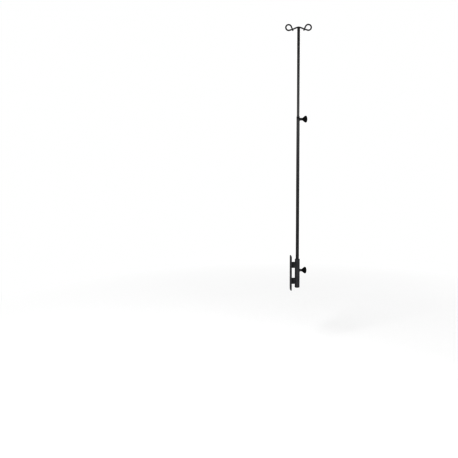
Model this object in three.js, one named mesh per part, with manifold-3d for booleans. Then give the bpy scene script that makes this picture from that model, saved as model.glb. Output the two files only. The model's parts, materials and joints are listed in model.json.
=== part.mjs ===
// Telescopic drip pole for a treatment recliner, with the bracket that holds it on the chair's side.
// Units are millimetres. The origin is the middle of the bracket plate's back face, which lies on the chair.
// +Z is up along the pole, +X points away from the chair, and +Y points to the chair's rear.
//
// From the top down: one bent wire with a pigtail loop at each end is welded across the top of the upper
// tube. The upper tube slides in the lower tube, and turns on a nylon glide pinned in its bottom end. The
// lower tube's mouth holds a flanged bush, and a boss welded under it holds the thumb screw that clamps the
// upper tube. The lower tube turns on a nylon foot, which stands in the bracket's receiver. The receiver has
// two bushes and a second thumb screw.

import * as THREE from "three";
import { mergeVertices } from "three/addons/utils/BufferGeometryUtils.js";
import Module from "manifold-3d";

const wasm = await Module();
wasm.setup();

// ---------------------------------------------------------------- driving dimensions

const INCH = 25.4;
const GAP = 0.3; // between pieces that touch
const ROUND = 32; // sides of a round piece
const SMALL_ROUND = 20; // sides of a small round piece

// Pole
const poleX = 38; // pole axis to the chair's surface
const upperD = INCH / 2;
const upperWall = 0.049 * INCH;
const upperLength = 36 * INCH;
const lowerD = (5 / 8) * INCH;
const lowerWall = 0.035 * INCH;
const lowerLength = 36 * INCH;
const shown = 458.8; // from the lower tube's mouth to the middle of the hook wire
const wireD = INCH / 4;

// Hook wire, measured along its middle. u runs outward from the pole axis, w up from the top of the arch.
const loopR = 15.1;
const loopU = 51.3;
const loopW = -0.4;
const crossU = 30.6; // where the two strands of a loop pass each other
const crossW = -10;
const loopShift = 12; // to the rear, from the strand that goes in to the strand that comes out
const tailLength = 7; // past the crossing
const archHandle = 9; // how long the arch stays level
const crossHandle = 6;

// Crown plug in the upper tube's top end, under the wire
const crownL = 16;

// Bracket
const plateW = 60;
const plateH = 190;
const plateT = 5;
const plateCorner = 9;
const plateHoleD = 7;
const plateHoleY = 20;
const plateHoleZ = 80;
const receiverD = INCH;
const receiverBore = 20.4;
const receiverTop = 75;
const receiverBottom = -78;
const saddleW = 16;
const saddleH = 30;
const saddleZ = 45;
const bushLength = 23;
const bushFlangeT = 2.5;
const capT = 2.7;
const capPlugL = 6;
const drainD = 5;

// Bush in the lower tube's mouth
const rodBushD = 16.3; // across its flange
const rodBushFlangeT = 2;
const rodBushDepth = 6.6;
const rodBushPlay = 0.1; // round the upper tube, and to the lower tube's bore

// Thumb screws: distances along the screw, from the tip of the pad
const poleLockDrop = 13.8; // screw axis below the top of the bush
const receiverLockZ = 15;
const screwD = (5 / 16) * INCH;
const screwHoleD = 8.8;
const bossEndR = INCH / 4;
const bossFootR = 7.4;
const padD = 5.6;
const padT = 2.3;
const padStemD = 2.8;
const padStemL = 3;
const screwStart = padT + GAP;
const screwEnd = 32;
const knobStart = 16;
const knobNeckR = 6.4;
const knobR = 17.5;
const knobRim = 16.5; // flare's end, from the knob's start
const knobLength = 25.9;
const knobFlutes = 8;
const fluteR = 6;
const fluteDepth = 1.2;
const bossClear = 1.2; // bare screw between a boss and its knob

// Nylon plugs on which the tubes turn: each is held by a pin across its groove
const foot = { flangeR: lowerD / 2, flangeT: 4, shankL: 15, grooveR: 4, pinR: 1.2, pinRise: 8 };
const glide = { flangeR: 6.75, flangeT: 12, shankL: 20, grooveR: 3, pinR: 1, pinRise: 10 };

// ---------------------------------------------------------------- sizes worked out from them

const upperR = upperD / 2;
const lowerR = lowerD / 2;
const receiverR = receiverD / 2;
const upperBoreR = upperR - upperWall;
const lowerBoreR = lowerR - lowerWall;

const capTop = receiverBottom + capPlugL;
const lowerBottom = capTop + GAP + foot.flangeT + GAP;
const lowerTop = lowerBottom + lowerLength;
const mouthZ = lowerTop + GAP + rodBushFlangeT;
const poleLockZ = mouthZ - poleLockDrop;
const archZ = mouthZ + shown;
const upperBottom = archZ - upperLength;

// ---------------------------------------------------------------- materials

const finish = (name, color, roughness, metalness) =>
  new THREE.MeshStandardMaterial({ name, color, roughness, metalness });

const chrome = finish("chrome", 0x8c8c90, 0.15, 1);
const zincSteel = finish("zinc_steel", 0x9a9a98, 0.35, 1);
const blackPaint = finish("black_paint", 0x1c1d1f, 0.5, 0.2);
const blackPlastic = finish("black_plastic", 0x0c0c0d, 0.45, 0);
const nylon = finish("nylon", 0x26272a, 0.6, 0);

// ---------------------------------------------------------------- geometry helpers

// A three.js geometry as a manifold-3d solid.
function solid(geometry) {
  const bare = geometry.clone();
  bare.deleteAttribute("normal");
  bare.deleteAttribute("uv");
  const merged = mergeVertices(bare, 1e-4);
  return new wasm.Manifold(
    new wasm.Mesh({
      numProp: 3,
      vertProperties: merged.attributes.position.array,
      triVerts: new Uint32Array(merged.index.array),
    }),
  );
}

// A manifold-3d solid as a three.js geometry.
function geometryOf(body) {
  const mesh = body.getMesh();
  const geometry = new THREE.BufferGeometry();
  geometry.setAttribute("position", new THREE.BufferAttribute(mesh.vertProperties, 3));
  geometry.setIndex(new THREE.BufferAttribute(mesh.triVerts, 1));
  geometry.computeVertexNormals();
  return geometry;
}

const cut = (geometry, ...tools) =>
  geometryOf(tools.reduce((body, tool) => body.subtract(solid(tool)), solid(geometry)));

// A turned piece about Z from [radius, z] points. A closed profile makes a ring.
function turned(points, closed = false, sides = ROUND) {
  const outline = points.map(([r, z]) => new THREE.Vector2(r, z));
  if (closed) outline.push(outline[0].clone());
  return new THREE.LatheGeometry(outline, sides).rotateX(Math.PI / 2);
}

// A plain rod about Z from z0 to z1.
const rod = (radius, z0, z1, sides = ROUND) =>
  turned([[0, z0], [radius, z0], [radius, z1], [0, z1]], false, sides);

// A tube about Z with its outer edges chamfered.
function tube(outer, inner, z0, z1, chamfer = 0.3) {
  return turned(
    [
      [inner, z0],
      [outer - chamfer, z0],
      [outer, z0 + chamfer],
      [outer, z1 - chamfer],
      [outer - chamfer, z1],
      [inner, z1],
    ],
    true,
  );
}

// Turns a piece made about Z so that its axis is +X, then moves it onto the pole axis at height z.
const alongX = (geometry, z) => geometry.rotateY(Math.PI / 2).translate(poleX, 0, z);

// Moves a piece made about Z onto the pole axis.
const onPole = (geometry) => geometry.translate(poleX, 0, 0);

// Hole for a thumb screw, from the pole axis outward.
const screwHole = (wallR, z) => alongX(rod(screwHoleD / 2, 0, 2 * wallR, SMALL_ROUND), z);

// ---------------------------------------------------------------- assembly

const pole = new THREE.Group();

function add(name, geometry, material) {
  const mesh = new THREE.Mesh(geometry, material);
  mesh.name = name;
  pole.add(mesh);
}

// ---------------------------------------------------------------- bracket

// Flat plate with rounded corners and four screw holes, in the YZ plane with its back face at x = 0.
function mountingPlate() {
  const w = plateW / 2;
  const h = plateH / 2;
  const c = plateCorner;
  const outline = new THREE.Shape();
  outline.moveTo(-w + c, -h);
  outline.lineTo(w - c, -h);
  outline.absarc(w - c, -h + c, c, -Math.PI / 2, 0);
  outline.lineTo(w, h - c);
  outline.absarc(w - c, h - c, c, 0, Math.PI / 2);
  outline.lineTo(-w + c, h);
  outline.absarc(-w + c, h - c, c, Math.PI / 2, Math.PI);
  outline.lineTo(-w, -h + c);
  outline.absarc(-w + c, -h + c, c, Math.PI, 1.5 * Math.PI);
  for (const y of [-plateHoleY, plateHoleY])
    for (const z of [-plateHoleZ, plateHoleZ])
      outline.holes.push(new THREE.Path().absarc(y, z, plateHoleD / 2, 0, 2 * Math.PI, true));
  const plate = new THREE.ExtrudeGeometry(outline, {
    depth: plateT,
    bevelEnabled: false,
    curveSegments: 5,
  });
  // The shape's x and y become the part's Y and Z, and its depth becomes +X.
  return plate.rotateY(Math.PI / 2).rotateX(Math.PI / 2);
}

// Block between the plate and the receiver, hollowed to the receiver's curve.
function saddle(z) {
  const depth = poleX - plateT - GAP;
  const block = new THREE.BoxGeometry(depth, saddleW, saddleH);
  block.translate(plateT + GAP + depth / 2, 0, z);
  return cut(block, onPole(rod(receiverR + GAP, z - saddleH, z + saddleH)));
}

const receiverTube = () =>
  cut(
    onPole(tube(receiverR, receiverBore / 2, receiverBottom, receiverTop, 0.5)),
    screwHole(receiverR, receiverLockZ),
  );

// Plug that closes the receiver's bottom, with a drain hole.
function receiverEndCap() {
  const plugR = receiverBore / 2 - GAP;
  const top = receiverBottom - GAP;
  return onPole(
    turned(
      [
        [drainD / 2, top - capT],
        [receiverR - 0.8, top - capT],
        [receiverR, top - capT + 0.8],
        [receiverR, top],
        [plugR, top],
        [plugR, capTop],
        [drainD / 2, capTop],
      ],
      true,
    ),
  );
}

const bushOuter = receiverBore / 2 - 0.25;
const bushInner = lowerR + 0.3;

// Bush with a flange that sits on the receiver's mouth.
function upperBush() {
  const flangeTop = receiverTop + GAP + bushFlangeT;
  return onPole(
    turned(
      [
        [bushInner, receiverTop - bushLength],
        [bushOuter, receiverTop - bushLength],
        [bushOuter, receiverTop + GAP],
        [receiverR, receiverTop + GAP],
        [receiverR, flangeTop - 0.8],
        [receiverR - 0.8, flangeTop],
        [bushInner + 0.6, flangeTop],
        [bushInner, flangeTop - 0.6],
      ],
      true,
    ),
  );
}

const lowerBush = () => onPole(tube(bushOuter, bushInner, capTop + GAP, capTop + bushLength));

// Threaded boss welded on a round wall: a flared foot hollowed to the wall's curve, then a straight end.
function boss(wallR, end, z) {
  const flare = new THREE.QuadraticBezierCurve(
    new THREE.Vector2(bossFootR, wallR + 0.4),
    new THREE.Vector2(bossEndR, wallR + 0.8),
    new THREE.Vector2(bossEndR, end - 1.2),
  );
  const bore = screwD / 2 + GAP;
  const outline = [[bore, 0], [bossFootR, 0], ...flare.getPoints(4).map((p) => [p.x, p.y])];
  const body = turned([...outline, [bossEndR - 0.6, end], [bore, end]], true, SMALL_ROUND);
  return cut(alongX(body, z), onPole(rod(wallR + GAP, z - 2 * bossFootR, z + 2 * bossFootR)));
}

// Where the boss ends, measured from the pole axis, for a screw that presses on the given radius.
const bossEnd = (pressedR) => pressedR + GAP / 2 + knobStart - bossClear;

add("mounting_plate", mountingPlate(), blackPaint);
add("upper_saddle", saddle(saddleZ), blackPaint);
add("lower_saddle", saddle(-saddleZ), blackPaint);
add("receiver_tube", receiverTube(), blackPaint);
add("receiver_end_cap", receiverEndCap(), blackPlastic);
add("upper_bush", upperBush(), nylon);
add("lower_bush", lowerBush(), nylon);
add("receiver_boss", boss(receiverR, bossEnd(lowerR), receiverLockZ), blackPaint);

// ---------------------------------------------------------------- thumb screws

// Nylon pad with a stem that turns in the screw's tip.
function lockPad() {
  return turned(
    [
      [0, 0],
      [padD / 2 - 0.4, 0],
      [padD / 2, 0.4],
      [padD / 2, padT],
      [padStemD / 2, padT],
      [padStemD / 2, padT + padStemL],
      [0, padT + padStemL],
    ],
    false,
    SMALL_ROUND,
  );
}

// Threaded stud, drilled at its tip for the pad's stem.
function lockScrew() {
  const drillR = padStemD / 2 + GAP;
  const drillEnd = padT + padStemL + GAP;
  const r = screwD / 2;
  return turned(
    [
      [0, drillEnd],
      [drillR, drillEnd],
      [drillR, screwStart],
      [r - 0.6, screwStart],
      [r, screwStart + 0.6],
      [r, screwEnd],
      [0, screwEnd],
    ],
    false,
    SMALL_ROUND,
  );
}

// Knob that flares from a narrow neck to a domed head, with finger flutes round the head.
function lockKnob() {
  const boreR = screwD / 2 + GAP;
  const rim = knobStart + knobRim;
  const face = knobStart + knobLength;
  const flare = new THREE.CubicBezierCurve(
    new THREE.Vector2(knobNeckR, knobStart + 1.5),
    new THREE.Vector2(knobNeckR + 0.5, knobStart + 4),
    new THREE.Vector2(knobR - 3.6, knobStart + 9),
    new THREE.Vector2(knobR, rim),
  );
  const dome = new THREE.EllipseCurve(0, rim + 2, knobR, face - rim - 2, 0, Math.PI / 2);
  const outline = [...flare.getPoints(6), ...dome.getPoints(5)].map((p) => [Math.abs(p.x), p.y]);
  outline[outline.length - 1][0] = 0;
  const body = turned([
    [0, screwEnd + GAP],
    [boreR, screwEnd + GAP],
    [boreR, knobStart],
    [knobNeckR, knobStart],
    ...outline,
  ]);
  const flutes = [];
  for (let i = 0; i < knobFlutes; i++) {
    const angle = ((i + 0.5) / knobFlutes) * 2 * Math.PI;
    const reach = knobR + fluteR - fluteDepth;
    const flute = rod(fluteR, knobStart + 8, face + 2, SMALL_ROUND);
    flutes.push(flute.translate(reach * Math.cos(angle), reach * Math.sin(angle), 0));
  }
  return cut(body, ...flutes);
}

// Pad, screw and knob that press on a round piece of the given radius.
function thumbScrew(name, pressedR, z) {
  const place = (geometry) => alongX(geometry.translate(0, 0, pressedR + GAP / 2), z);
  add(name + "_pad", place(lockPad()), nylon);
  add(name + "_screw", place(lockScrew()), zincSteel);
  add(name + "_knob", place(lockKnob()), blackPlastic);
}

thumbScrew("receiver_lock", lowerR, receiverLockZ);

// ---------------------------------------------------------------- plugs and their pins

// Nylon plug under a tube's bottom end: a flange below the end, and a grooved shank inside the bore.
function groovedPlug(plug, tubeEnd, boreR) {
  const shankR = boreR - GAP;
  const top = tubeEnd + plug.shankL;
  const flangeTop = tubeEnd - GAP;
  const flangeBottom = flangeTop - plug.flangeT;
  const grooveHalf = plug.pinR + GAP;
  const pinZ = tubeEnd + plug.pinRise;
  return onPole(
    turned([
      [0, flangeBottom],
      [plug.flangeR - 1, flangeBottom],
      [plug.flangeR, flangeBottom + 1],
      [plug.flangeR, flangeTop],
      [shankR, flangeTop],
      [shankR, pinZ - grooveHalf],
      [plug.grooveR, pinZ - grooveHalf],
      [plug.grooveR, pinZ + grooveHalf],
      [shankR, pinZ + grooveHalf],
      [shankR, top - 1],
      [shankR - 1, top],
      [0, top],
    ]),
  );
}

// Distance of a plug's pin from the pole axis.
const pinOffset = (plug) => plug.grooveR + plug.pinR + GAP / 2;

// A rod along X that runs beside the pole axis, through the plug's groove.
function acrossPlug(plug, tubeEnd, radius, half) {
  const across = rod(radius, -half, half, SMALL_ROUND).rotateY(Math.PI / 2);
  return across.translate(poleX, pinOffset(plug), tubeEnd + plug.pinRise);
}

// The pin itself, which ends just inside the tube's surface.
function plugPin(plug, tubeEnd, tubeR) {
  const half = Math.sqrt(tubeR ** 2 - (pinOffset(plug) + plug.pinR) ** 2);
  return acrossPlug(plug, tubeEnd, plug.pinR, half);
}

const pinHole = (plug, tubeEnd) => acrossPlug(plug, tubeEnd, plug.pinR + 0.15, lowerD);

// ---------------------------------------------------------------- lower tube

const lowerTube = () =>
  cut(
    onPole(tube(lowerR, lowerBoreR, lowerBottom, lowerTop)),
    screwHole(lowerR, poleLockZ),
    pinHole(foot, lowerBottom),
  );

// Bush with a flange that sits on the tube's end, round the upper tube.
function rodBush() {
  const inner = upperR + rodBushPlay;
  const outer = lowerBoreR - rodBushPlay;
  return onPole(
    turned(
      [
        [inner, lowerTop - rodBushDepth],
        [outer, lowerTop - rodBushDepth],
        [outer, lowerTop + GAP],
        [rodBushD / 2, lowerTop + GAP],
        [rodBushD / 2, mouthZ - 0.6],
        [rodBushD / 2 - 0.6, mouthZ],
        [inner, mouthZ],
      ],
      true,
    ),
  );
}

add("foot_plug", groovedPlug(foot, lowerBottom, lowerBoreR), nylon);
add("foot_pin", plugPin(foot, lowerBottom, lowerR), zincSteel);
add("lower_tube", lowerTube(), chrome);
add("rod_bush", rodBush(), nylon);
add("pole_boss", boss(lowerR, bossEnd(upperR), poleLockZ), chrome);
thumbScrew("pole_lock", upperR, poleLockZ);

// ---------------------------------------------------------------- hook wire

const crossing = new THREE.Vector2(crossU, crossW);
const loopCentre = new THREE.Vector2(loopU, loopW);
const reach = loopCentre.distanceTo(crossing);
const heading = loopCentre.clone().sub(crossing).angle();
const spread = Math.asin(loopR / reach);
const intoLoop = heading - spread; // direction of the strand that goes into the loop
const outOfLoop = heading + spread; // direction of the strand that comes out, seen backwards

// Half of the arch, from the pole axis to the crossing.
const halfArch = new THREE.CubicBezierCurve(
  new THREE.Vector2(0, 0),
  new THREE.Vector2(archHandle, 0),
  new THREE.Vector2(crossU - crossHandle * Math.cos(intoLoop), crossW - crossHandle * Math.sin(intoLoop)),
  crossing,
);

// Points along the middle of one side of the wire, as [u, w, shift to the rear].
function hookSide() {
  const points = halfArch.getPoints(6).map((p) => [p.x, p.y, 0]);
  const turns = 14;
  const sweep = Math.PI + 2 * spread;
  for (let i = 0; i <= turns; i++) {
    const angle = intoLoop - Math.PI / 2 + (sweep * i) / turns;
    const shift = (loopShift * (i + 1)) / (turns + 2);
    points.push([loopU + loopR * Math.cos(angle), loopW + loopR * Math.sin(angle), shift]);
  }
  const straight = Math.sqrt(reach ** 2 - loopR ** 2);
  for (const past of [-straight / 2, 0, tailLength])
    points.push([crossU - past * Math.cos(outOfLoop), crossW - past * Math.sin(outOfLoop), loopShift]);
  return points;
}

// A wire along one side's points and their mirror image on the pole's other side.
function wireAlong(side, radius, steps) {
  const left = side.slice(1).map(([u, w, s]) => new THREE.Vector3(poleX - u, s, archZ + w));
  const right = side.map(([u, w, s]) => new THREE.Vector3(poleX + u, s, archZ + w));
  const extrudePath = new THREE.CatmullRomCurve3([...left.reverse(), ...right]);
  const section = new THREE.Shape().absarc(0, 0, radius, 0, 2 * Math.PI);
  return new THREE.ExtrudeGeometry(section, { steps, curveSegments: 6, extrudePath });
}

const hookWire = () => wireAlong(hookSide(), wireD / 2, 96);

// The arch's middle stretch with room round it, which shapes the seat under the wire.
const wireSeat = () => wireAlong(hookSide().slice(0, 5), wireD / 2 + GAP, 16);

// ---------------------------------------------------------------- upper tube

const upperTube = () =>
  cut(onPole(tube(upperR, upperBoreR, upperBottom, archZ)), wireSeat(), pinHole(glide, upperBottom));

const crownPlug = () => cut(onPole(rod(upperBoreR - GAP, archZ - crownL, archZ)), wireSeat());

add("rod_glide", groovedPlug(glide, upperBottom, upperBoreR), nylon);
add("glide_pin", plugPin(glide, upperBottom, upperR), zincSteel);
add("upper_tube", upperTube(), chrome);
add("crown_plug", crownPlug(), chrome);
add("hook_wire", hookWire(), chrome);

export default pole;
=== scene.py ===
"""Looks of the chair-mounted telescopic drip pole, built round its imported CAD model.

Each piece is a smooth mesh that replaces a faceted CAD node and rides on its body. The weld beads are
pieces of their own. Lengths are in metres, in the CAD's frame: +Z up along the pole, +X away from the
chair, +Y to the chair's rear.
"""

import json
import math
from contextlib import contextmanager

import bmesh
import bpy
from mathutils import Matrix, Vector, noise


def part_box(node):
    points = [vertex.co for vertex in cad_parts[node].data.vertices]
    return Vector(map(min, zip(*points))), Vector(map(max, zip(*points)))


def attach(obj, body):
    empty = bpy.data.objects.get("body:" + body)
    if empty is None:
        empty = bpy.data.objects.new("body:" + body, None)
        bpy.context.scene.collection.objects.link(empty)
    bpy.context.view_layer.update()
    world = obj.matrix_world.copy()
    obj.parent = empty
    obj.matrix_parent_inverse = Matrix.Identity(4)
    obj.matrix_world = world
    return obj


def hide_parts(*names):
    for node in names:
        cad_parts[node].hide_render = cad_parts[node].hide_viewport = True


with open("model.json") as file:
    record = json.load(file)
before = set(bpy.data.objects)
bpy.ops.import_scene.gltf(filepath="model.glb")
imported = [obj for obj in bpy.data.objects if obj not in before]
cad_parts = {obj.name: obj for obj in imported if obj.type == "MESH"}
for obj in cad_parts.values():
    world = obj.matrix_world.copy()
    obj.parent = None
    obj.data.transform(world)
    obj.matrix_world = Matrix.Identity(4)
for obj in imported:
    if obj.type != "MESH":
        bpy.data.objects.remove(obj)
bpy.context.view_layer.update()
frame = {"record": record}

MM = 0.001
SIDES = 96  # of a turned piece
CREASE = 32  # degrees: sharper edges stay sharp
MERGE = 0.002 * MM  # points this close are one point


# ---------------------------------------------------------------- places from the frame


def centre(node):
    """Middle of a CAD node's box."""
    low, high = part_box(node)
    return (low + high) / 2


def radius(node):
    """Radius of a turned CAD node, whether it stands along the pole or across it."""
    low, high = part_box(node)
    return (high.y - low.y) / 2


def ends(node, axis=2):
    """Where a CAD node begins and ends along an axis."""
    low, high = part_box(node)
    return low[axis], high[axis]


POLE = Vector((centre("lower_tube").x, centre("lower_tube").y, 0))
UPPER_R = radius("upper_tube")
LOWER_R = radius("lower_tube")
RECEIVER_R = radius("receiver_tube")
LOCK_Z = centre("pole_lock_knob").z
RECEIVER_LOCK_Z = centre("receiver_lock_knob").z
ARCH_Z = ends("upper_tube")[1]  # middle of the hook wire where it crosses the pole

BODY_OF = {}
for body, members in frame["record"]["behaviour"]["bodies"].items():
    for member in members:
        BODY_OF[member] = body


# ---------------------------------------------------------------- camera

EYE_TO_POLE = 3.4672  # along the floor
EYE_LEFT_OF_POLE = 0.3737
EYE_BELOW_LOCK = 0.0583
PITCH = math.radians(8.673)  # down
ROLL = math.radians(-0.589)
LENS_MM = 50.5


def make_camera():
    camera = bpy.data.objects.new("camera", bpy.data.cameras.new("camera"))
    bpy.context.scene.collection.objects.link(camera)
    camera.data.lens = LENS_MM
    camera.data.clip_start = 0.05
    camera.data.clip_end = 100
    camera.location = (POLE.x - EYE_LEFT_OF_POLE, POLE.y - EYE_TO_POLE, LOCK_Z - EYE_BELOW_LOCK)
    level = Matrix.Rotation(math.pi / 2 - PITCH, 3, "X")
    camera.rotation_euler = (level @ Matrix.Rotation(ROLL, 3, "Z")).to_euler()
    bpy.context.scene.camera = camera


make_camera()


# ---------------------------------------------------------------- outlines


ARC_STEPS = 4
NEARLY_STRAIGHT = math.radians(165)  # a corner this open gets no arc
EDGE_SHARE = 0.45  # of an edge, at most, goes to the arc at either end


def rounded(points, fillet, closed=False):
    """The outline with an arc in place of each corner, as wide as its neighbours leave room for."""
    corners = [Vector(point) for point in points]
    out = []
    for i, corner in enumerate(corners):
        if not closed and i in (0, len(corners) - 1):
            out.append(corner)
            continue
        before = corners[i - 1] - corner
        after = corners[(i + 1) % len(corners)] - corner
        angle = before.angle(after)
        if angle > NEARLY_STRAIGHT:
            out.append(corner)
            continue
        setback = min(fillet / math.tan(angle / 2), EDGE_SHARE * before.length, EDGE_SHARE * after.length)
        arc_radius = setback * math.tan(angle / 2)
        middle = corner + (before.normalized() + after.normalized()).normalized() * (
            arc_radius / math.sin(angle / 2)
        )
        start = corner + before.normalized() * setback - middle
        end = corner + after.normalized() * setback - middle
        for step in range(ARC_STEPS + 1):
            out.append(middle + start.slerp(end, step / ARC_STEPS) * arc_radius)
    return out


def bezier(points, count):
    """count + 1 points along a cubic Bezier curve."""
    a, b, c, d = (Vector(point) for point in points)
    out = []
    for i in range(count + 1):
        t = i / count
        s = 1 - t
        out.append(s**3 * a + 3 * s * s * t * b + 3 * s * t * t * c + t**3 * d)
    return out


# ---------------------------------------------------------------- meshes


@contextmanager
def editing(mesh):
    """Opens a mesh for bmesh operations, and writes it back."""
    made = bmesh.new()
    made.from_mesh(mesh)
    yield made
    made.to_mesh(mesh)
    made.free()


def mesh_object(name, verts, faces):
    """A mesh with its faces pointing out, smooth but for its sharp edges."""
    mesh = bpy.data.meshes.new(name)
    mesh.from_pydata(verts, [], faces)
    with editing(mesh) as made:
        bmesh.ops.recalc_face_normals(made, faces=made.faces)
    piece = bpy.data.objects.new(name, mesh)
    bpy.context.scene.collection.objects.link(piece)
    smooth(piece)
    return piece


def smooth(piece, crease=CREASE):
    """Smooth shading, with edges sharper than crease degrees kept."""
    piece.data.shade_smooth()
    piece.data.set_sharp_from_angle(angle=math.radians(crease))


def turned(name, outline, closed=False, sides=SIDES, shape=None):
    """A piece turned about Z from (radius, z) points. shape(radius, z, angle) may change the radius."""
    verts, rings = [], []
    for r, z in outline:
        if r < MERGE:
            rings.append([len(verts)] * sides)
            verts.append((0, 0, z))
            continue
        rings.append(range(len(verts), len(verts) + sides))
        for i in range(sides):
            angle = 2 * math.pi * i / sides
            reach = shape(r, z, angle) if shape else r
            verts.append((reach * math.cos(angle), reach * math.sin(angle), z))
    faces = []
    pairs = list(zip(rings, rings[1:]))
    if closed:
        pairs.append((rings[-1], rings[0]))
    for lower, upper in pairs:
        for i in range(sides):
            j = (i + 1) % sides
            corners = dict.fromkeys((lower[i], lower[j], upper[j], upper[i]))
            if len(corners) > 2:
                faces.append(tuple(corners))
    return mesh_object(name, verts, faces)


def dome(station, outward):
    """Stations that close a bar's end with a dome, from the bar outward."""
    place, normal, across_normal, r = station
    out = []
    for degrees in (20, 40, 60, 80):
        angle = math.radians(degrees)
        tip = place + outward * (r * math.sin(angle))
        out.append((tip, normal, across_normal, r * math.cos(angle)))
    return out


def bar(name, path, thickness, sides, closed=False):
    """A round bar along path with domed ends. thickness(share of the length) gives its radius there."""
    count = len(path)
    tangents = []
    for i in range(count):
        before = path[i - 1] if closed or i > 0 else path[0]
        after = path[(i + 1) % count] if closed or i < count - 1 else path[-1]
        tangents.append((after - before).normalized())
    normal = tangents[0].orthogonal().normalized()
    stations = []
    for i, tangent in enumerate(tangents):
        normal = (normal - tangent * normal.dot(tangent)).normalized()
        stations.append((path[i], normal.copy(), tangent.cross(normal), thickness(i / count)))
    if not closed:
        head = dome(stations[0], -tangents[0])
        stations = head[::-1] + stations + dome(stations[-1], tangents[-1])
    verts, rings = [], []
    for place, n, b, r in stations:
        rings.append(range(len(verts), len(verts) + sides))
        for i in range(sides):
            angle = 2 * math.pi * i / sides
            verts.append(place + (n * math.cos(angle) + b * math.sin(angle)) * r)
    faces = []
    pairs = list(zip(rings, rings[1:]))
    if closed:
        # The frame has turned a little on its way round, so the seam joins the nearest corners.
        gaps = [(verts[rings[0][k]] - verts[rings[-1][0]]).length for k in range(sides)]
        twist = gaps.index(min(gaps))
        pairs.append((rings[-1], [rings[0][(k + twist) % sides] for k in range(sides)]))
    for lower, upper in pairs:
        for i in range(sides):
            j = (i + 1) % sides
            faces.append((lower[i], lower[j], upper[j], upper[i]))
    if not closed:
        faces += [tuple(rings[0]), tuple(rings[-1])]
    return mesh_object(name, verts, faces)


def settle(piece):
    """Applies a piece's modifiers, and merges points that a cut left on top of each other."""
    shown = piece.evaluated_get(bpy.context.evaluated_depsgraph_get())
    mesh = bpy.data.meshes.new_from_object(shown)
    piece.modifiers.clear()
    with editing(mesh) as made:
        bmesh.ops.remove_doubles(made, verts=made.verts, dist=MERGE)
        bmesh.ops.dissolve_degenerate(made, edges=made.edges, dist=MERGE)
    piece.data = mesh
    smooth(piece)


def carve(piece, *cutters):
    """Cuts other meshes out of a piece, and removes them."""
    for cutter in cutters:
        cut = piece.modifiers.new("cut", "BOOLEAN")
        cut.operation = "DIFFERENCE"
        cut.solver = "EXACT"
        cut.object = cutter
    settle(piece)
    for cutter in cutters:
        bpy.data.objects.remove(cutter)
    return piece


def bevelled(piece, width):
    """Rounds a piece's sharp edges."""
    bevel = piece.modifiers.new("bevel", "BEVEL")
    bevel.width = width
    bevel.segments = 3
    bevel.limit_method = "ANGLE"
    bevel.angle_limit = math.radians(CREASE)
    settle(piece)
    return piece


def on_pole(piece):
    """Moves a piece made about Z onto the pole's axis."""
    piece.data.transform(Matrix.Translation(POLE))
    return piece


def laid(piece, place):
    """Turns a piece made about Z to lie along +X, and moves its origin to a place."""
    piece.data.transform(Matrix.Translation(place) @ Matrix.Rotation(math.pi / 2, 4, "Y"))
    return piece


def across(piece, z):
    """Lays a piece made about Z along +X from the pole's axis, at height z."""
    return laid(piece, POLE + Vector((0, 0, z)))


def plain_rod(r, z0, z1, sides=64):
    """A cutter: a straight rod about Z."""
    return turned("cutter", [(0, z0), (r, z0), (r, z1), (0, z1)], sides=sides)


# ---------------------------------------------------------------- materials


class Finish:
    """A node material with a Principled shader, and short ways to add procedural detail to it."""

    def __init__(self, name, metallic=0.0):
        self.material = bpy.data.materials.new(name)
        self.material.use_nodes = True
        self.tree = self.material.node_tree
        self.shader = self.tree.nodes["Principled BSDF"]
        self.shader.inputs["Metallic"].default_value = metallic
        self.place = self.tree.nodes.new("ShaderNodeTexCoord").outputs["Object"]

    def link(self, output, socket):
        self.tree.links.new(output, socket)

    def noise(self, scale, detail=3.0, stretch=(1, 1, 1), rough=0.5):
        """Cloudy noise with features of about 1 / scale metres. A small stretch draws them out."""
        mapping = self.tree.nodes.new("ShaderNodeMapping")
        mapping.inputs["Scale"].default_value = stretch
        self.link(self.place, mapping.inputs["Vector"])
        texture = self.tree.nodes.new("ShaderNodeTexNoise")
        texture.inputs["Scale"].default_value = scale
        texture.inputs["Detail"].default_value = detail
        texture.inputs["Roughness"].default_value = rough
        self.link(mapping.outputs["Vector"], texture.inputs["Vector"])
        return texture.outputs["Fac"]

    def cells(self, scale):
        """Distance to the middle of small cells."""
        texture = self.tree.nodes.new("ShaderNodeTexVoronoi")
        texture.inputs["Scale"].default_value = scale
        self.link(self.place, texture.inputs["Vector"])
        return texture.outputs["Distance"]

    def spread(self, value, low, high, start=0.3, stop=0.7):
        """Stretches the range start to stop of a value over low to high."""
        spread = self.tree.nodes.new("ShaderNodeMapRange")
        spread.inputs["From Min"].default_value = start
        spread.inputs["From Max"].default_value = stop
        spread.inputs["To Min"].default_value = low
        spread.inputs["To Max"].default_value = high
        self.link(value, spread.inputs["Value"])
        return spread.outputs["Result"]

    def sum(self, first, second):
        add = self.tree.nodes.new("ShaderNodeMath")
        add.operation = "ADD"
        self.link(first, add.inputs[0])
        self.link(second, add.inputs[1])
        return add.outputs["Value"]

    def colour(self, factor, dark, light):
        """Base colour between two linear colours."""
        mix = self.tree.nodes.new("ShaderNodeMix")
        mix.data_type = "RGBA"
        mix.inputs["A"].default_value = (*dark, 1)
        mix.inputs["B"].default_value = (*light, 1)
        self.link(factor, mix.inputs["Factor"])
        self.link(mix.outputs["Result"], self.shader.inputs["Base Color"])

    def roughness(self, value):
        self.link(value, self.shader.inputs["Roughness"])

    def bump(self, height, strength, distance):
        bump = self.tree.nodes.new("ShaderNodeBump")
        bump.inputs["Strength"].default_value = strength
        bump.inputs["Distance"].default_value = distance
        self.link(height, bump.inputs["Height"])
        self.link(bump.outputs["Normal"], self.shader.inputs["Normal"])


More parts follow.
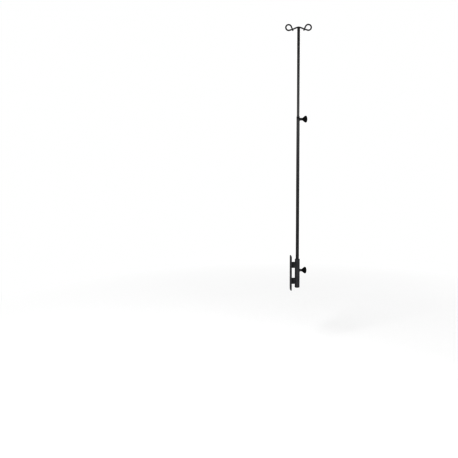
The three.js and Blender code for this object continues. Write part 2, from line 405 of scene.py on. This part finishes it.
def chrome(name, tone, grain=(1, 1, 1)):
    """Polished chrome plate: clouded by handling, with fine polishing lines drawn along the grain."""
    finish = Finish(name, metallic=1.0)
    smears = finish.noise(45, detail=4)
    lines = finish.noise(2600, detail=2, stretch=grain)
    dark = tuple(0.9 * level for level in tone)
    light = tuple(1.06 * level for level in tone)
    finish.colour(finish.spread(smears, 0, 1), dark, light)
    finish.roughness(finish.sum(finish.spread(smears, 0.10, 0.19), finish.spread(lines, 0, 0.07)))
    finish.bump(lines, strength=0.08, distance=0.02 * MM)
    return finish.material


def zinc():
    """Zinc-plated screw steel: dull silver with faint straw and blue stains."""
    finish = Finish("zinc_plate", metallic=1.0)
    stains = finish.noise(160, detail=4)
    grit = finish.noise(5200, detail=2)
    finish.colour(finish.spread(stains, 0, 1), (0.50, 0.50, 0.46), (0.60, 0.62, 0.66))
    finish.roughness(finish.sum(finish.spread(stains, 0.24, 0.36), finish.spread(grit, 0, 0.1)))
    finish.bump(grit, strength=0.25, distance=0.03 * MM)
    return finish.material


def powder_coat():
    """Black powder coat with an orange-peel skin and a little dulling."""
    finish = Finish("powder_coat")
    peel = finish.cells(900)
    cloud = finish.noise(30, detail=5)
    finish.colour(finish.spread(cloud, 0, 1), (0.070, 0.070, 0.075), (0.110, 0.110, 0.117))
    pits = finish.spread(peel, 0, 0.1, start=0, stop=0.8)
    finish.roughness(finish.sum(finish.spread(cloud, 0.34, 0.48), pits))
    finish.bump(peel, strength=0.35, distance=0.12 * MM)
    return finish.material


def moulded(name, dark, light, roughness, texture=2400):
    """Moulded plastic: fine spark-eroded texture, and a cloudy change of gloss."""
    finish = Finish(name)
    grain = finish.noise(texture, detail=3, rough=0.65)
    cloud = finish.noise(70, detail=4)
    finish.colour(finish.spread(cloud, 0, 1), dark, light)
    clouded = finish.spread(cloud, roughness - 0.06, roughness + 0.06)
    finish.roughness(finish.sum(clouded, finish.spread(grain, 0, 0.08)))
    finish.bump(grain, strength=0.22, distance=0.06 * MM)
    return finish.material


ALONG_POLE = (1, 1, 0.012)  # stretch of the polishing lines
UPPER_CHROME = chrome("upper_chrome", (0.60, 0.60, 0.60), grain=ALONG_POLE)
# The lower tube has the same chrome, toned darker. This is painted shade that stands in for the darker
# reflection the lower tube shows.
LOWER_CHROME_PAINTED_SHADE = chrome("lower_chrome_painted_shade", (0.51, 0.51, 0.515), grain=ALONG_POLE)
WIRE_CHROME = chrome("wire_chrome", (0.60, 0.60, 0.615))
ZINC = zinc()
PAINT = powder_coat()
BLACK_PLASTIC = moulded("black_plastic", (0.010, 0.010, 0.011), (0.020, 0.020, 0.021), roughness=0.40)
NYLON = moulded("nylon", (0.070, 0.072, 0.078), (0.105, 0.107, 0.115), roughness=0.52, texture=1500)


def stand_for(piece, node, material):
    """Names a piece after the CAD node it replaces, and gives it that node's body and slot."""
    piece.name = node + "_smooth"
    piece.data.materials.clear()
    piece.data.materials.append(material)
    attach(piece, BODY_OF[node])
    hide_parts(node)


def add_to(piece, node, material):
    """A piece with no CAD node of its own, such as a weld, that goes with a node."""
    piece.data.materials.clear()
    piece.data.materials.append(material)
    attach(piece, BODY_OF[node])


# ---------------------------------------------------------------- weld beads


BEAD_SIDES = 14
BEAD_CORE = 0.86  # shares of a bead's radius
BEAD_RIPPLE = 0.16
BEAD_DRIFT = 0.10


def weld(name, path, thickness, node, material, closed=False, pitch=1.5 * MM):
    """A rippled bead of weld metal along path."""
    lengths = [0.0]
    for before, after in zip(path, path[1:]):
        lengths.append(lengths[-1] + (after - before).length)
    total = lengths[-1]
    waves = max(1, round(total / pitch))

    def swell(share):
        ripple = abs(math.sin(math.pi * waves * share))
        drift = noise.noise(Vector((share * 9, waves, thickness * 1000)))
        return thickness * (BEAD_CORE + BEAD_RIPPLE * ripple + BEAD_DRIFT * drift)

    add_to(bar(name, path, swell, BEAD_SIDES, closed), node, material)


def even(path, step):
    """Points at an even spacing along a polyline."""
    out = [path[0]]
    left = step
    for before, after in zip(path, path[1:]):
        stretch = (after - before).length
        while stretch > 0 and left <= stretch:
            out.append(before.lerp(after, left / stretch))
            left += step
        left -= stretch
    return out


# ---------------------------------------------------------------- hook wire

WIRE_R = 3.175 * MM
WIRE_SIDES = 40
LOOP_R = 15.1 * MM
LOOP_U = 51.3 * MM  # u runs outward from the pole, w up from the top of the arch
LOOP_W = -0.4 * MM
CROSS_U = 30.6 * MM
CROSS_W = -10 * MM
LOOP_SHIFT = 12 * MM  # to the rear
SHIFT_BEGUN = 0.06  # share of it where the loop begins
SHIFT_DONE = 0.94  # share of it where the loop ends
TAIL = 7 * MM - WIRE_R  # the domed end adds the rest
ARCH_HANDLE = 9 * MM
CROSS_HANDLE = 6 * MM
WIRE_STEP = 1 * MM
SEAT_REACH = 20 * MM  # of the wire's seat, to each side of the pole's axis
SEAT_PLAY = 0.05 * MM

CROSSING = Vector((CROSS_U, CROSS_W))
TO_LOOP = Vector((LOOP_U, LOOP_W)) - CROSSING
HEADING = math.atan2(TO_LOOP.y, TO_LOOP.x)
SPREAD = math.asin(LOOP_R / TO_LOOP.length)
INTO_LOOP = HEADING - SPREAD
OUT_OF_LOOP = HEADING + SPREAD


def half_arch(count):
    """The wire from the pole's axis to the crossing, as (u, w)."""
    handle = CROSSING - Vector((math.cos(INTO_LOOP), math.sin(INTO_LOOP))) * CROSS_HANDLE
    return bezier([(0, 0), (ARCH_HANDLE, 0), handle, CROSSING], count)


def hook_side():
    """One side of the wire from the pole's axis to its end, as (u, w, shift to the rear)."""
    points = [Vector((p.x, p.y, 0)) for p in half_arch(24)]
    straight = math.sqrt(TO_LOOP.length**2 - LOOP_R**2)
    out_way = Vector((math.cos(OUT_OF_LOOP), math.sin(OUT_OF_LOOP)))
    into_way = Vector((math.cos(INTO_LOOP), math.sin(INTO_LOOP)))
    for step in range(1, 6):
        spot = CROSSING + into_way * (straight * step / 6)
        points.append(Vector((spot.x, spot.y, 0)))
    arc_steps = 64
    sweep = math.pi + 2 * SPREAD
    for step in range(arc_steps + 1):
        share = step / arc_steps
        angle = INTO_LOOP - math.pi / 2 + sweep * share
        spot = Vector((LOOP_U, LOOP_W)) + Vector((math.cos(angle), math.sin(angle))) * LOOP_R
        shift = LOOP_SHIFT * (SHIFT_BEGUN + (SHIFT_DONE - SHIFT_BEGUN) * share)
        points.append(Vector((spot.x, spot.y, shift)))
    for step in range(1, 13):
        spot = CROSSING + out_way * (straight - (straight + TAIL) * step / 12)
        points.append(Vector((spot.x, spot.y, LOOP_SHIFT)))
    return points


def relaxed(points, passes):
    """Evens out small changes of bend along a path, with its ends kept."""
    for _ in range(passes):
        points = (
            points[:1]
            + [(a + 2 * b + c) / 4 for a, b, c in zip(points, points[1:], points[2:])]
            + points[-1:]
        )
    return points


def wire_path(side):
    """Both sides of the wire: the left mirrors the right."""
    left = [POLE + Vector((-p.x, p.z, ARCH_Z + p.y)) for p in side[1:]]
    right = [POLE + Vector((p.x, p.z, ARCH_Z + p.y)) for p in side]
    return left[::-1] + right


def make_hook_wire():
    path = relaxed(even(wire_path(hook_side()), WIRE_STEP), passes=6)
    wire = bar("hook_wire", path, lambda share: WIRE_R, WIRE_SIDES)
    stand_for(wire, "hook_wire", WIRE_CHROME)


def wire_seat():
    """A cutter: the arch's middle stretch, a little fatter than the wire."""
    side = [p for p in hook_side() if p.x < SEAT_REACH]
    return bar("cutter", wire_path(side), lambda share: WIRE_R + SEAT_PLAY, WIRE_SIDES)


def arch_drop(u):
    """How far the wire's middle has dropped at a distance from the pole's axis."""
    arch = half_arch(60)
    for before, after in zip(arch, arch[1:]):
        if before.x <= u <= after.x:
            return before.lerp(after, (u - before.x) / (after.x - before.x)).y
    return arch[-1].y


def make_crown_weld():
    """The bead that joins the wire to the tube's end: along the wire's sides and round under it."""
    seam = []
    flank = math.sqrt(UPPER_R**2 - WIRE_R**2)
    for sign in (1, -1):
        for step in range(17):
            y = WIRE_R * math.cos(math.pi * step / 16) * sign
            x = math.sqrt(UPPER_R**2 - y * y) * sign
            w = arch_drop(abs(x)) - math.sqrt(max(0, WIRE_R**2 - y * y))
            seam.append(POLE + Vector((x, y, ARCH_Z + w)))
        for step in range(1, 12):
            x = sign * flank * (1 - step / 6)
            seam.append(POLE + Vector((x, -WIRE_R * sign, ARCH_Z)))
    seam = even(seam + seam[:1], 0.35 * MM)
    weld("crown_weld", seam, 1.0 * MM, "hook_wire", WIRE_CHROME, closed=True)


# ---------------------------------------------------------------- tubes

UPPER_WALL = 1.245 * MM
LOWER_WALL = 0.889 * MM
PIN_PLAY = 0.15 * MM
PIN_STATION = 3 * MM  # from a pin's axis


def tube(name, outer, inner, z0, z1, stations=(), fillet=0.35 * MM):
    """A tube on the pole's axis. stations are heights of extra rings, which keep a cut's faces short."""
    inside = [(inner, z) for z in sorted(stations, reverse=True)]
    outside = [(outer, z) for z in sorted(stations)]
    outline = [(inner, z0), (outer, z0), *outside, (outer, z1), (inner, z1), *inside]
    return on_pole(turned(name, rounded(outline, fillet, closed=True), closed=True))


def pin_cutter(pin):
    """A drill for the pin across a tube."""
    return laid(plain_rod(radius(pin) + PIN_PLAY, -12 * MM, 12 * MM), centre(pin))


SCREW_HOLE_R = 4.4 * MM


def screw_cutter(z):
    return across(plain_rod(SCREW_HOLE_R, 0, 30 * MM), z)


def make_upper_tube():
    z0, z1 = ends("upper_tube")
    pin_z = centre("glide_pin").z
    stations = [pin_z - PIN_STATION, pin_z + PIN_STATION, z1 - 8 * MM]
    body = tube("upper_tube", UPPER_R, UPPER_R - UPPER_WALL, z0, z1, stations, 0.3 * MM)
    carve(body, wire_seat(), pin_cutter("glide_pin"))
    stand_for(body, "upper_tube", UPPER_CHROME)


def make_crown_plug():
    r = radius("crown_plug")
    z0, z1 = ends("crown_plug")
    outline = rounded([(0, z0), (r, z0), (r, z1 - 8 * MM), (r, z1), (0, z1)], 0.6 * MM)
    body = on_pole(turned("crown_plug", outline, sides=64))
    stand_for(carve(body, wire_seat()), "crown_plug", WIRE_CHROME)


def make_lower_tube():
    z0, z1 = ends("lower_tube")
    pin_z = centre("foot_pin").z
    stations = [pin_z - PIN_STATION, pin_z + PIN_STATION, LOCK_Z - 6 * MM]
    body = tube("lower_tube", LOWER_R, LOWER_R - LOWER_WALL, z0, z1, stations)
    carve(body, screw_cutter(LOCK_Z), pin_cutter("foot_pin"))
    stand_for(body, "lower_tube", LOWER_CHROME_PAINTED_SHADE)


# ---------------------------------------------------------------- bushes


def ring(node, inner, fillet):
    """A plain bush that replaces a CAD node."""
    z0, z1 = ends(node)
    stand_for(tube(node, radius(node), inner, z0, z1, fillet=fillet), node, NYLON)


def flanged_bush(node, inner, outer, mouth, fillet):
    """A bush in a tube's mouth, with a flange on the tube's end."""
    z0, z1 = ends(node)
    r = radius(node)
    outline = [(inner, z0), (outer, z0), (outer, mouth), (r, mouth), (r, z1), (inner, z1)]
    body = turned(node, rounded(outline, fillet, closed=True), closed=True)
    stand_for(on_pole(body), node, NYLON)


# ---------------------------------------------------------------- bosses

BOSS_FOOT_R = 7.4 * MM
BOSS_END_R = 6.35 * MM
SCREW_BORE_R = 4.27 * MM  # of the bosses and the knobs


def make_boss(node, wall_r, z, material):
    """Flared boss, its foot hollowed to the round wall it is welded on, and the weld round it."""
    end = ends(node, 0)[1] - POLE.x
    flare = bezier(
        [
            (BOSS_FOOT_R, wall_r + 0.4 * MM),
            (BOSS_FOOT_R - 0.7 * MM, wall_r + 0.7 * MM),
            (BOSS_END_R, wall_r + 1.4 * MM),
            (BOSS_END_R, end - 1.2 * MM),
        ],
        14,
    )
    nose = rounded([flare[-1], (BOSS_END_R, end), (SCREW_BORE_R, end), (SCREW_BORE_R, 0.0)], 0.6 * MM)
    outline = [Vector((BOSS_FOOT_R, 0.0)), *flare[:-1], *nose]
    body = across(turned(node, outline, closed=True), z)
    wall = on_pole(plain_rod(wall_r + 0.1 * MM, z - 20 * MM, z + 20 * MM, sides=128))
    stand_for(carve(body, wall), node, material)
    seam = []
    seam_r = BOSS_FOOT_R + 0.1 * MM
    for step in range(160):
        angle = 2 * math.pi * step / 160
        y = seam_r * math.cos(angle)
        x = math.sqrt(max(0, wall_r**2 - y * y))
        seam.append(POLE + Vector((x, y, z + seam_r * math.sin(angle))))
    weld(node + "_weld", seam, 1.0 * MM, node, material, closed=True)


# ---------------------------------------------------------------- thumb screws

THREAD_PITCH = 1.25 * MM
THREAD_DEPTH = 0.55 * MM
THREADED_R = 3 * MM  # narrower rings of a screw carry no thread
TIP_CHAMFER = 0.6 * MM
PAD_STEM_R = 1.4 * MM
PAD_COLLAR = 2.3 * MM
STEM_HOLE_R = 1.7 * MM
STEM_HOLE_DEPTH = 3 * MM
KNOB_NECK_R = 6.4 * MM
KNOB_FLUTES = 8
FLUTE_R = 6 * MM
FLUTE_REACH = 22.3 * MM  # from the knob's axis to a flute's
RIM_FROM_NECK = 16.5 * MM  # along the knob, to its widest part
RIM_BAND = 2 * MM  # from there to the foot of the domed face
KNOB_BORE_DEPTH = 16.3 * MM
CAP_R = 7.5 * MM  # a round cap is pressed into the face
GROOVE_DEPTH = 0.35 * MM  # round the cap's edge
GROOVE_WIDTH = 0.45 * MM


def thread(start, stop):
    """A radius rule for a thread that fades out at both ends."""

    def shape(r, z, angle):
        if r < THREADED_R:
            return r
        turn = (z / THREAD_PITCH - angle / (2 * math.pi)) % 1
        ridge = min(1.0, 1.6 * abs(2 * turn - 1))
        fade = min(1.0, (z - start) / MM, (stop - z) / MM)
        return r - THREAD_DEPTH * (1 - ridge) * max(0.0, fade)

    return shape


def make_screw(node, z):
    low, high = (x - POLE.x for x in ends(node, 0))
    r = radius(node)
    drill = low + STEM_HOLE_DEPTH
    length = high - low - TIP_CHAMFER
    count = round(length / (THREAD_PITCH / 6))
    shank = [(r, low + TIP_CHAMFER + length * i / count) for i in range(count + 1)]
    tip = [(0, drill), (STEM_HOLE_R, drill), (STEM_HOLE_R, low), (r - TIP_CHAMFER, low)]
    outline = [*tip, *shank, (0, high)]
    body = turned(node, outline, sides=60, shape=thread(low + 0.2 * MM, high))
    stand_for(across(body, z), node, ZINC)


def make_pad(node, z):
    low, high = (x - POLE.x for x in ends(node, 0))
    r = radius(node)
    collar_end = low + PAD_COLLAR
    outline = [(0, low), (r, low), (r, collar_end)]
    outline += [(PAD_STEM_R, collar_end), (PAD_STEM_R, high), (0, high)]
    stand_for(across(turned(node, rounded(outline, 0.4 * MM), sides=48), z), node, NYLON)


def fluted(start):
    """A radius rule that sinks finger flutes into a knob's rim, with soft edges."""

    def shape(r, z, angle):
        if r < FLUTE_REACH - FLUTE_R - 3 * MM or z < start:
            return r
        step = 2 * math.pi / KNOB_FLUTES
        off = (angle / step - 0.5 - round(angle / step - 0.5)) * step
        side = FLUTE_REACH * math.sin(off)
        if abs(side) >= FLUTE_R:
            return r
        bed = FLUTE_REACH * math.cos(off) - math.sqrt(FLUTE_R**2 - side * side)
        soft = 0.35 * MM
        gap = bed - r
        # A smooth minimum of r and the flute's bed.
        least = (r + bed - math.sqrt(gap * gap + soft * soft)) / 2
        return least + soft / 2 * max(0.0, 1 - abs(gap) / MM)

    return shape


def make_knob(node, z):
    start, face = (x - POLE.x for x in ends(node, 0))
    rim_r = radius(node)
    rim = start + RIM_FROM_NECK
    dome_foot = rim + RIM_BAND
    bore_end = start + KNOB_BORE_DEPTH
    flare = bezier(
        [
            (KNOB_NECK_R, start + 1.5 * MM),
            (KNOB_NECK_R + 0.5 * MM, start + 4 * MM),
            (rim_r - 3.6 * MM, start + 9 * MM),
            (rim_r, rim),
        ],
        36,
    )

    def face_point(r):
        """A point of the domed face, sunk where the groove round the cap is."""
        rise = (face - dome_foot) * math.sqrt(1 - (r / rim_r) ** 2)
        groove = GROOVE_DEPTH * math.exp(-(((r - CAP_R) / GROOVE_WIDTH) ** 2))
        return r, dome_foot + rise - groove

    # The rings lie closer together where the groove is.
    radii = [rim_r * math.cos(math.pi / 2 * step / 40) for step in range(40)] + [0.0]
    radii = [r for r in radii if not 6 * MM <= r <= 9 * MM]
    radii += [(9 - 3 * step / 12) * MM for step in range(13)]
    face_outline = [face_point(r) for r in sorted(radii, reverse=True)]
    # A faint parting line runs round the widest part.
    line = [(rim_r, rim + 0.4 * MM), (rim_r + 0.1 * MM, rim + 0.6 * MM)]
    line += [(rim_r + 0.1 * MM, rim + 0.9 * MM), (rim_r, rim + 1.1 * MM)]
    inside = [(0, bore_end), (SCREW_BORE_R, bore_end), (SCREW_BORE_R, start), (KNOB_NECK_R, start)]
    inside = rounded([*inside, flare[0]], 0.5 * MM)[:-1]
    outline = [*inside, *flare, *line, *face_outline]
    body = turned(node, outline, sides=192, shape=fluted(start + 8 * MM))
    stand_for(across(body, z), node, BLACK_PLASTIC)


def make_thumb_screw(name, z):
    make_pad(name + "_pad", z)
    make_screw(name + "_screw", z)
    make_knob(name + "_knob", z)


# ---------------------------------------------------------------- plugs and pins


def make_plug(node, pin, flange_t, groove_r, bore_r):
    """Nylon plug: flange under the tube's end, and a grooved shank in the bore."""
    z0, z1 = ends(node)
    shank_r = bore_r - 0.3 * MM
    half = radius(pin) + 0.3 * MM
    pin_z = centre(pin).z
    flange = z0 + flange_t
    outline = [(0, z0), (radius(node), z0), (radius(node), flange), (shank_r, flange)]
    outline += [(shank_r, pin_z - half), (groove_r, pin_z - half)]
    outline += [(groove_r, pin_z + half), (shank_r, pin_z + half), (shank_r, z1), (0, z1)]
    stand_for(on_pole(turned(node, rounded(outline, 0.7 * MM))), node, NYLON)


def make_pin(node):
    low, high = ends(node, 0)
    half = (high - low) / 2
    r = radius(node)
    outline = rounded([(0, -half), (r, -half), (r, half), (0, half)], 0.35 * MM)
    stand_for(laid(turned(node, outline, sides=32), centre(node)), node, ZINC)


# ---------------------------------------------------------------- bracket

RECEIVER_BORE_R = 10.2 * MM
PLATE_CORNER = 9 * MM
PLATE_EDGE = 0.7 * MM  # rounding of its edges and of its holes' mouths
PLATE_CREASE = 25  # degrees
PLATE_HOLE_R = 3.5 * MM
HOLE_Y = 20 * MM
HOLE_Z = 80 * MM


def make_plate():
    low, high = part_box("mounting_plate")
    half_y, half_z, thick = high.y, high.z, high.x - low.x
    curve = bpy.data.curves.new("plate", "CURVE")
    curve.dimensions = "2D"
    curve.fill_mode = "BOTH"
    curve.extrude = thick / 2 - PLATE_EDGE
    curve.bevel_depth = PLATE_EDGE
    curve.bevel_resolution = 3
    curve.offset = -PLATE_EDGE

    def outline(points):
        spline = curve.splines.new("POLY")
        spline.points.add(len(points) - 1)
        for spot, (x, y) in zip(spline.points, points):
            spot.co = (x, y, 0, 1)
        spline.use_cyclic_u = True

    border = []
    for k, (sy, sz) in enumerate(((1, 1), (-1, 1), (-1, -1), (1, -1))):
        for step in range(17):
            angle = math.pi / 2 * (k + step / 16)
            y = sy * (half_y - PLATE_CORNER) + PLATE_CORNER * math.cos(angle)
            z = sz * (half_z - PLATE_CORNER) + PLATE_CORNER * math.sin(angle)
            border.append((y, z))
    outline(border)
    circle = [2 * math.pi * step / 48 for step in range(48)]
    for y in (-HOLE_Y, HOLE_Y):
        for z in (-HOLE_Z, HOLE_Z):
            outline([(y + PLATE_HOLE_R * math.cos(a), z + PLATE_HOLE_R * math.sin(a)) for a in circle])
    plate = bpy.data.objects.new("plate", curve)
    bpy.context.scene.collection.objects.link(plate)
    mesh = bpy.data.meshes.new_from_object(plate.evaluated_get(bpy.context.evaluated_depsgraph_get()))
    bpy.data.objects.remove(plate)
    # The outline's x and y become Y and Z.
    mesh.transform(
        Matrix.Translation(((low.x + high.x) / 2, 0, 0))
        @ Matrix(((0, 0, 1, 0), (1, 0, 0, 0), (0, 1, 0, 0), (0, 0, 0, 1)))
    )
    with editing(mesh) as made:
        bmesh.ops.remove_doubles(made, verts=made.verts, dist=MERGE)
        bmesh.ops.recalc_face_normals(made, faces=made.faces)
    piece = bpy.data.objects.new("mounting_plate", mesh)
    bpy.context.scene.collection.objects.link(piece)
    smooth(piece, PLATE_CREASE)
    stand_for(piece, "mounting_plate", PAINT)


SADDLE_PITCH = 2.2 * MM  # of the ripples of its welds


def make_saddle(node):
    """Block hollowed to the receiver's curve, welded to the plate and to the receiver."""
    low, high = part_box(node)
    half_y = high.y
    seat_r = RECEIVER_R + 0.05 * MM
    reach = math.asin(half_y / seat_r)
    outline = [(low.x, -half_y)]
    for step in range(13):
        angle = -reach + 2 * reach * step / 12
        outline.append((POLE.x - seat_r * math.cos(angle), seat_r * math.sin(angle)))
    outline.append((low.x, half_y))
    count = len(outline)
    verts = [(x, y, z) for z in (low.z, high.z) for x, y in outline]
    faces = [tuple(range(count)), tuple(range(count, 2 * count))]
    faces += [(i, (i + 1) % count, count + (i + 1) % count, count + i) for i in range(count)]
    stand_for(bevelled(mesh_object(node, verts, faces), 0.8 * MM), node, PAINT)

    corners = [(-half_y, low.z), (half_y, low.z), (half_y, high.z), (-half_y, high.z)]
    foot = rounded(corners, 1.5 * MM, closed=True)
    foot_x = low.x - 0.1 * MM
    seam = even([Vector((foot_x, p.x, p.y)) for p in foot + foot[:1]], 0.5 * MM)
    weld(node + "_plate_weld", seam, 1.5 * MM, node, PAINT, closed=True, pitch=SADDLE_PITCH)
    for name, y in (("front", -half_y), ("rear", half_y)):
        x = POLE.x - math.sqrt(RECEIVER_R**2 - y * y) - 0.3 * MM
        side = [Vector((x, y * 1.03, low.z + MM)), Vector((x, y * 1.03, high.z - MM))]
        weld(f"{node}_{name}_weld", even(side, 0.5 * MM), 1.4 * MM, node, PAINT, pitch=SADDLE_PITCH)


def make_receiver():
    z0, z1 = ends("receiver_tube")
    stations = [RECEIVER_LOCK_Z - 7 * MM, RECEIVER_LOCK_Z + 7 * MM]
    body = tube("receiver_tube", RECEIVER_R, RECEIVER_BORE_R, z0, z1, stations, 0.6 * MM)
    stand_for(carve(body, screw_cutter(RECEIVER_LOCK_Z)), "receiver_tube", PAINT)


def make_end_cap():
    z0, z1 = ends("receiver_end_cap")
    flange = ends("receiver_tube")[0] - 0.3 * MM
    plug_r = RECEIVER_BORE_R - 0.3 * MM
    r = radius("receiver_end_cap")
    drain_r = 2.5 * MM
    outline = [(drain_r, z0), (r, z0), (r, flange), (plug_r, flange), (plug_r, z1), (drain_r, z1)]
    body = turned("receiver_end_cap", rounded(outline, 0.9 * MM, closed=True), closed=True)
    stand_for(on_pole(body), "receiver_end_cap", BLACK_PLASTIC)


# ---------------------------------------------------------------- the object

CLOSE_PLAY = 0.1 * MM
LOOSE_PLAY = 0.3 * MM

make_hook_wire()
make_upper_tube()
make_crown_plug()
make_crown_weld()
make_lower_tube()
flanged_bush(
    "rod_bush",
    inner=UPPER_R + CLOSE_PLAY,
    outer=LOWER_R - LOWER_WALL - CLOSE_PLAY,
    mouth=ends("lower_tube")[1] + CLOSE_PLAY,
    fillet=0.5 * MM,
)
make_boss("pole_boss", LOWER_R, LOCK_Z, WIRE_CHROME)
make_thumb_screw("pole_lock", LOCK_Z)
make_plug("rod_glide", "glide_pin", flange_t=12 * MM, groove_r=3 * MM, bore_r=UPPER_R - UPPER_WALL)
make_plug("foot_plug", "foot_pin", flange_t=4 * MM, groove_r=4 * MM, bore_r=LOWER_R - LOWER_WALL)
make_pin("glide_pin")
make_pin("foot_pin")
make_plate()
make_saddle("upper_saddle")
make_saddle("lower_saddle")
make_receiver()
make_end_cap()
flanged_bush(
    "upper_bush",
    inner=LOWER_R + LOOSE_PLAY,
    outer=RECEIVER_BORE_R - 0.25 * MM,
    mouth=ends("receiver_tube")[1] + CLOSE_PLAY,
    fillet=0.7 * MM,
)
ring("lower_bush", inner=LOWER_R + LOOSE_PLAY, fillet=0.4 * MM)
make_boss("receiver_boss", RECEIVER_R, RECEIVER_LOCK_Z, PAINT)
make_thumb_screw("receiver_lock", RECEIVER_LOCK_Z)


# ---------------------------------------------------------------- floor and light

FLOOR_BELOW_ORIGIN = 0.418  # the chair holds the bracket at this height
FLOOR_R = 2.6
FLOOR_DARK = (0.855, 0.855, 0.855)
FLOOR_LIGHT = (0.862, 0.862, 0.862)
FADE_START = 0.65  # distance from the frame's origin at which the floor begins to turn white
FADE_END = 2.34


def make_floor():
    """A pale floor that fades into the white round it."""
    floor = turned("floor", [(0, -FLOOR_BELOW_ORIGIN), (FLOOR_R, -FLOOR_BELOW_ORIGIN)], sides=128)
    on_pole(floor)
    finish = Finish("floor")
    finish.colour(finish.spread(finish.noise(2), 0, 1), FLOOR_DARK, FLOOR_LIGHT)
    finish.shader.inputs["Roughness"].default_value = 0.7
    nodes = finish.tree.nodes
    distance = nodes.new("ShaderNodeVectorMath")
    distance.operation = "LENGTH"
    finish.link(finish.place, distance.inputs[0])
    fade = finish.spread(distance.outputs["Value"], 1, 0, FADE_START, FADE_END)
    white = nodes.new("ShaderNodeEmission")
    mix = nodes.new("ShaderNodeMixShader")
    finish.link(fade, mix.inputs["Fac"])
    finish.link(white.outputs["Emission"], mix.inputs[1])
    finish.link(finish.shader.outputs["BSDF"], mix.inputs[2])
    finish.link(mix.outputs["Shader"], nodes["Material Output"].inputs["Surface"])
    floor.data.materials.append(finish.material)
    floor.visible_glossy = False


# What polished metal mirrors: (sine of the angle above the horizon, brightness).
ROOM = [(-1.0, 0.19), (-0.15, 0.155), (-0.06, 0.19), (0.025, 0.39), (0.06, 0.295), (0.12, 0.10)]
ROOM += [(0.18, 0.03), (0.32, 0.05), (0.5, 0.11), (1.0, 0.21)]


def make_world():
    """A white studio. Polished metal mirrors a darker room, brightest just above the horizon."""
    world = bpy.data.worlds.new("studio")
    bpy.context.scene.world = world
    world.use_nodes = True
    tree = world.node_tree
    shader = tree.nodes["Background"]
    place = tree.nodes.new("ShaderNodeTexCoord")
    height = tree.nodes.new("ShaderNodeSeparateXYZ")
    tree.links.new(place.outputs["Generated"], height.inputs["Vector"])
    room = tree.nodes.new("ShaderNodeMapRange")
    room.inputs["From Min"].default_value = -1
    tree.links.new(height.outputs["Z"], room.inputs["Value"])
    ramp = tree.nodes.new("ShaderNodeValToRGB")
    elements = ramp.color_ramp.elements
    while len(elements) < len(ROOM):
        elements.new(0.5)
    for element, (sine, level) in zip(elements, ROOM):
        element.position = (sine + 1) / 2
        element.color = (level, level, level, 1)
    tree.links.new(room.outputs["Result"], ramp.inputs["Fac"])
    path = tree.nodes.new("ShaderNodeLightPath")
    mix = tree.nodes.new("ShaderNodeMix")
    mix.data_type = "RGBA"
    mix.inputs["A"].default_value = (1, 1, 1, 1)
    tree.links.new(path.outputs["Is Glossy Ray"], mix.inputs["Factor"])
    tree.links.new(ramp.outputs["Color"], mix.inputs["B"])
    tree.links.new(mix.outputs["Result"], shader.inputs["Color"])


def make_light(name, place, size, power, mirrored):
    """An area light turned towards the middle of the pole."""
    lamp = bpy.data.lights.new(name, "AREA")
    lamp.shape = "RECTANGLE"
    lamp.size, lamp.size_y = size
    lamp.energy = power
    light = bpy.data.objects.new(name, lamp)
    bpy.context.scene.collection.objects.link(light)
    light.location = place
    light.rotation_euler = (MIDDLE - light.location).to_track_quat("-Z", "Y").to_euler()
    light.visible_camera = False
    light.visible_glossy = mirrored


VIEW_GAMMA = 0.6  # darkens the soft edges of thin dark pieces on white
MIDDLE = POLE + Vector((0, 0, 0.6))
make_floor()
make_world()
make_light("key", place=(-2.2, -2.4, 2.6), size=(1.6, 1.6), power=80, mirrored=False)
make_light("strip", place=(2.2, 1.4, 0.9), size=(0.25, 2.4), power=3, mirrored=True)
bpy.context.scene.view_settings.view_transform = "Standard"
bpy.context.scene.view_settings.gamma = VIEW_GAMMA
